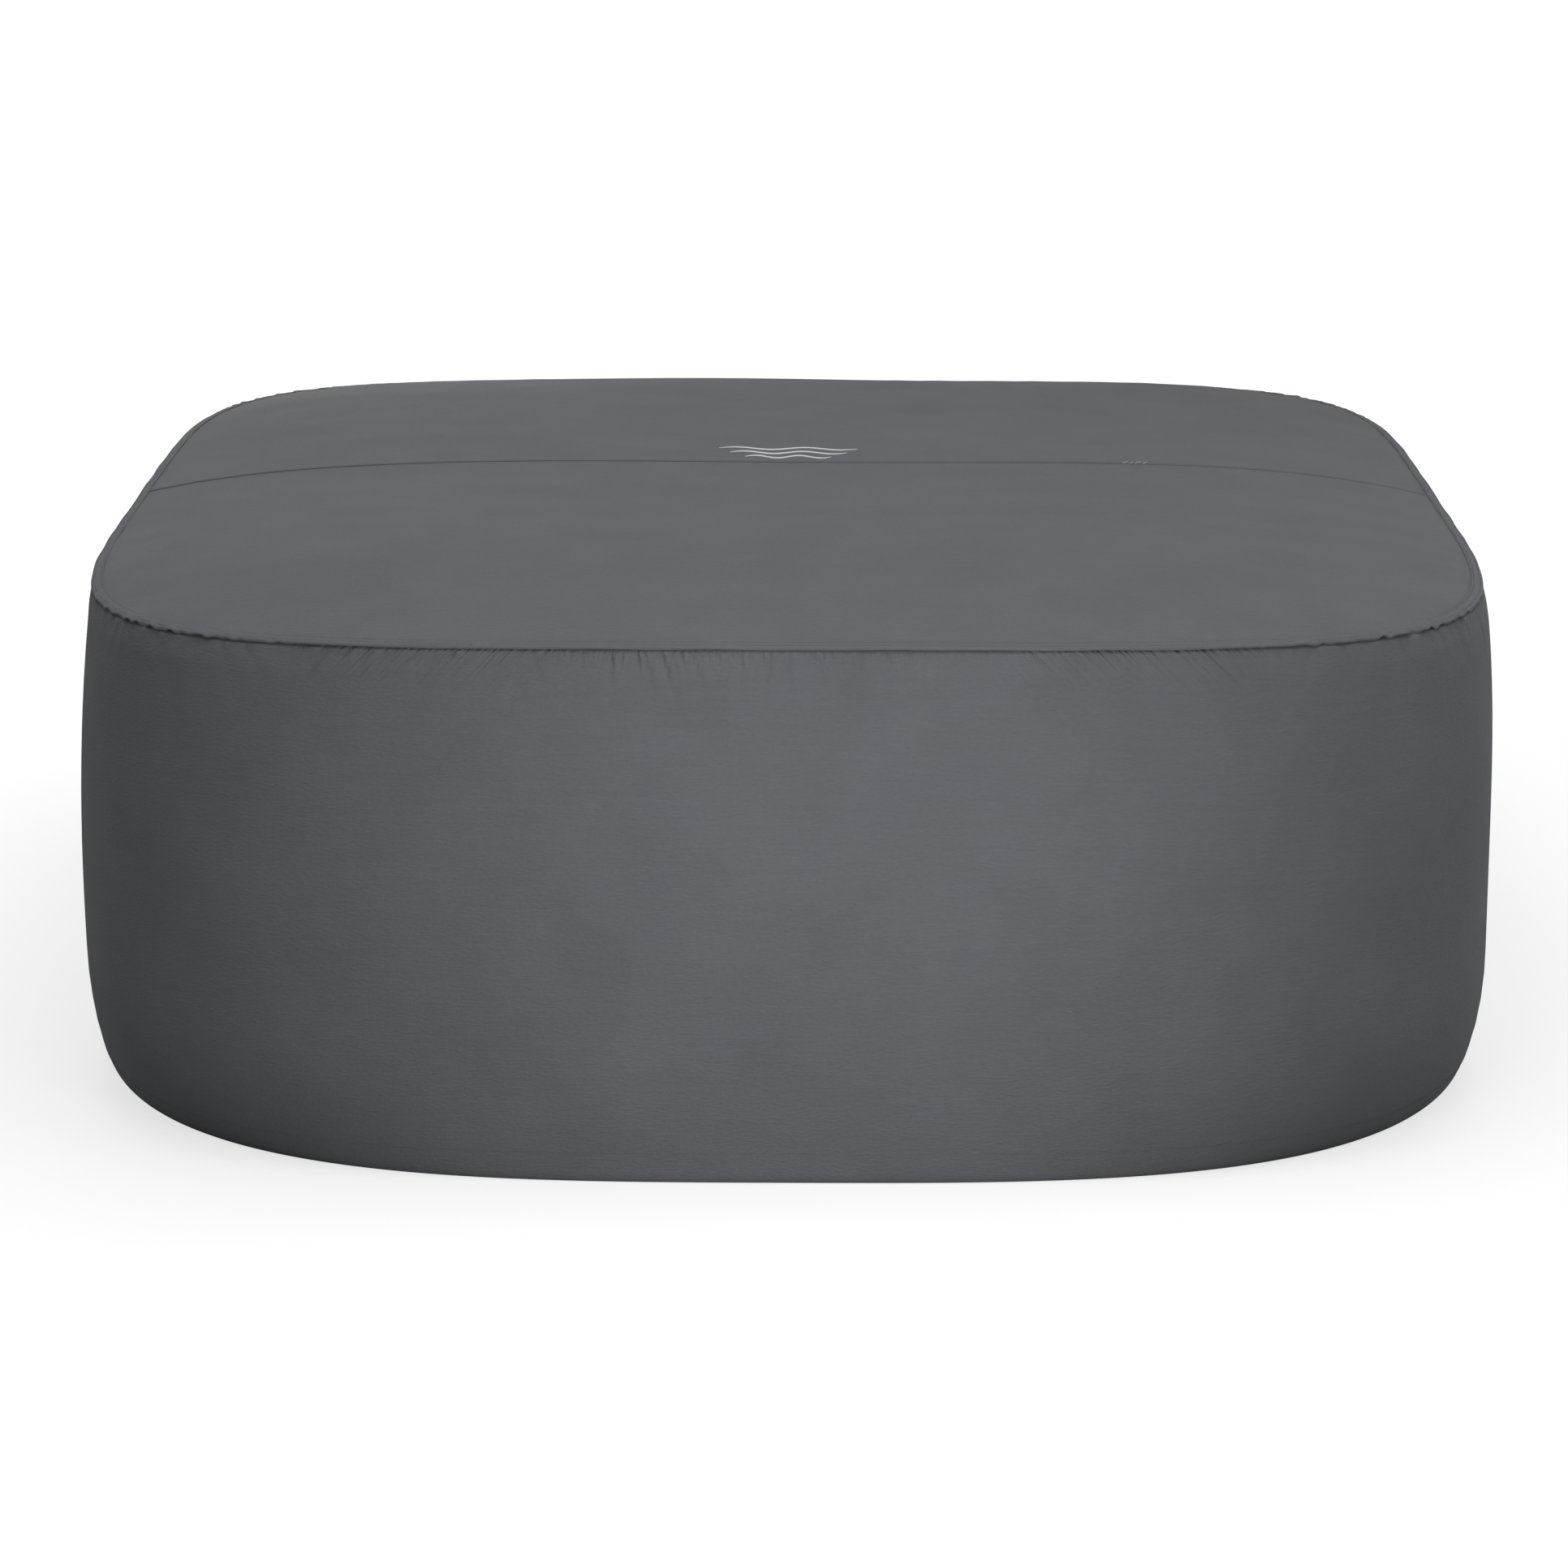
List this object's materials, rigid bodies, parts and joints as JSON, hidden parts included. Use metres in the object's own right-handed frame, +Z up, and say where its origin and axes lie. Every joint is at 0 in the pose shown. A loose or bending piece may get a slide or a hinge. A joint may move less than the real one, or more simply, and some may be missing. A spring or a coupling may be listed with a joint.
{
  "type": "spa cover",
  "caption": "Full-height insulated fabric cover for a square inflatable spa, with a domed top, a skirt to the floor and a pump flap at the rear.",
  "frame": {"origin": "middle of the bounding box at the base, on the floor under the hem", "axes": "+Z up; the front faces -Y and the pump flap is at +Y; +X is to the right seen from the front"},
  "size_m": [1.8, 1.8128, 0.7004],
  "materials": {
    "outer_fabric": "woven polyester, matt, water repellent",
    "seam_fabric": "folded and topstitched polyester",
    "foam": "closed-cell foam sheet",
    "foil": "foil laminate, softly crinkled",
    "elastic": "braided elastic",
    "hook_loop": "nylon hook and loop tape",
    "webbing": "woven webbing",
    "print": "screen print",
    "label": "woven satin label"
  },
  "bodies": {
    "cover": {"top_panel_front": "outer_fabric", "top_panel_rear": "outer_fabric", "top_foam_front": "foam", "top_foam_rear": "foam", "top_lining_front": "foil", "top_lining_rear": "foil", "top_join_seam": "seam_fabric", "top_edge_lip": "seam_fabric", "skirt_panel_front": "outer_fabric", "skirt_panel_rear": "outer_fabric", "skirt_lining_front": "foil", "skirt_lining_rear": "foil", "rear_seam_tape_right": "seam_fabric", "rear_seam_tape_left": "seam_fabric", "foam_right": "foam", "foam_rear": "foam", "foam_left": "foam", "foam_front": "foam", "foam_corner_rear_right": "foam", "foam_corner_rear_left": "foam", "foam_corner_front_left": "foam", "foam_corner_front_right": "foam", "hem_casing": "outer_fabric", "hem_elastic": "elastic", "cutout_binding": "seam_fabric", "loop_strip_right": "hook_loop", "loop_strip_left": "hook_loop", "flap_hinge_tape": "seam_fabric", "wave_print_front": "print", "wave_print_middle": "print", "wave_print_rear": "print", "care_label": "label"},
    "pump_flap": {"flap_panel": "outer_fabric", "flap_foam": "foam", "flap_lining": "foil", "hook_strip_right": "hook_loop", "hook_strip_left": "hook_loop", "flap_pull_tab": "webbing"}
  },
  "joints": [
    {"name": "flap_hinge", "type": "hinge", "parent": "cover", "child": "pump_flap", "pos_m": [0, 0.8955, 0.474], "axis": [1, 0, 0], "range_deg": [0, 150]}
  ]
}
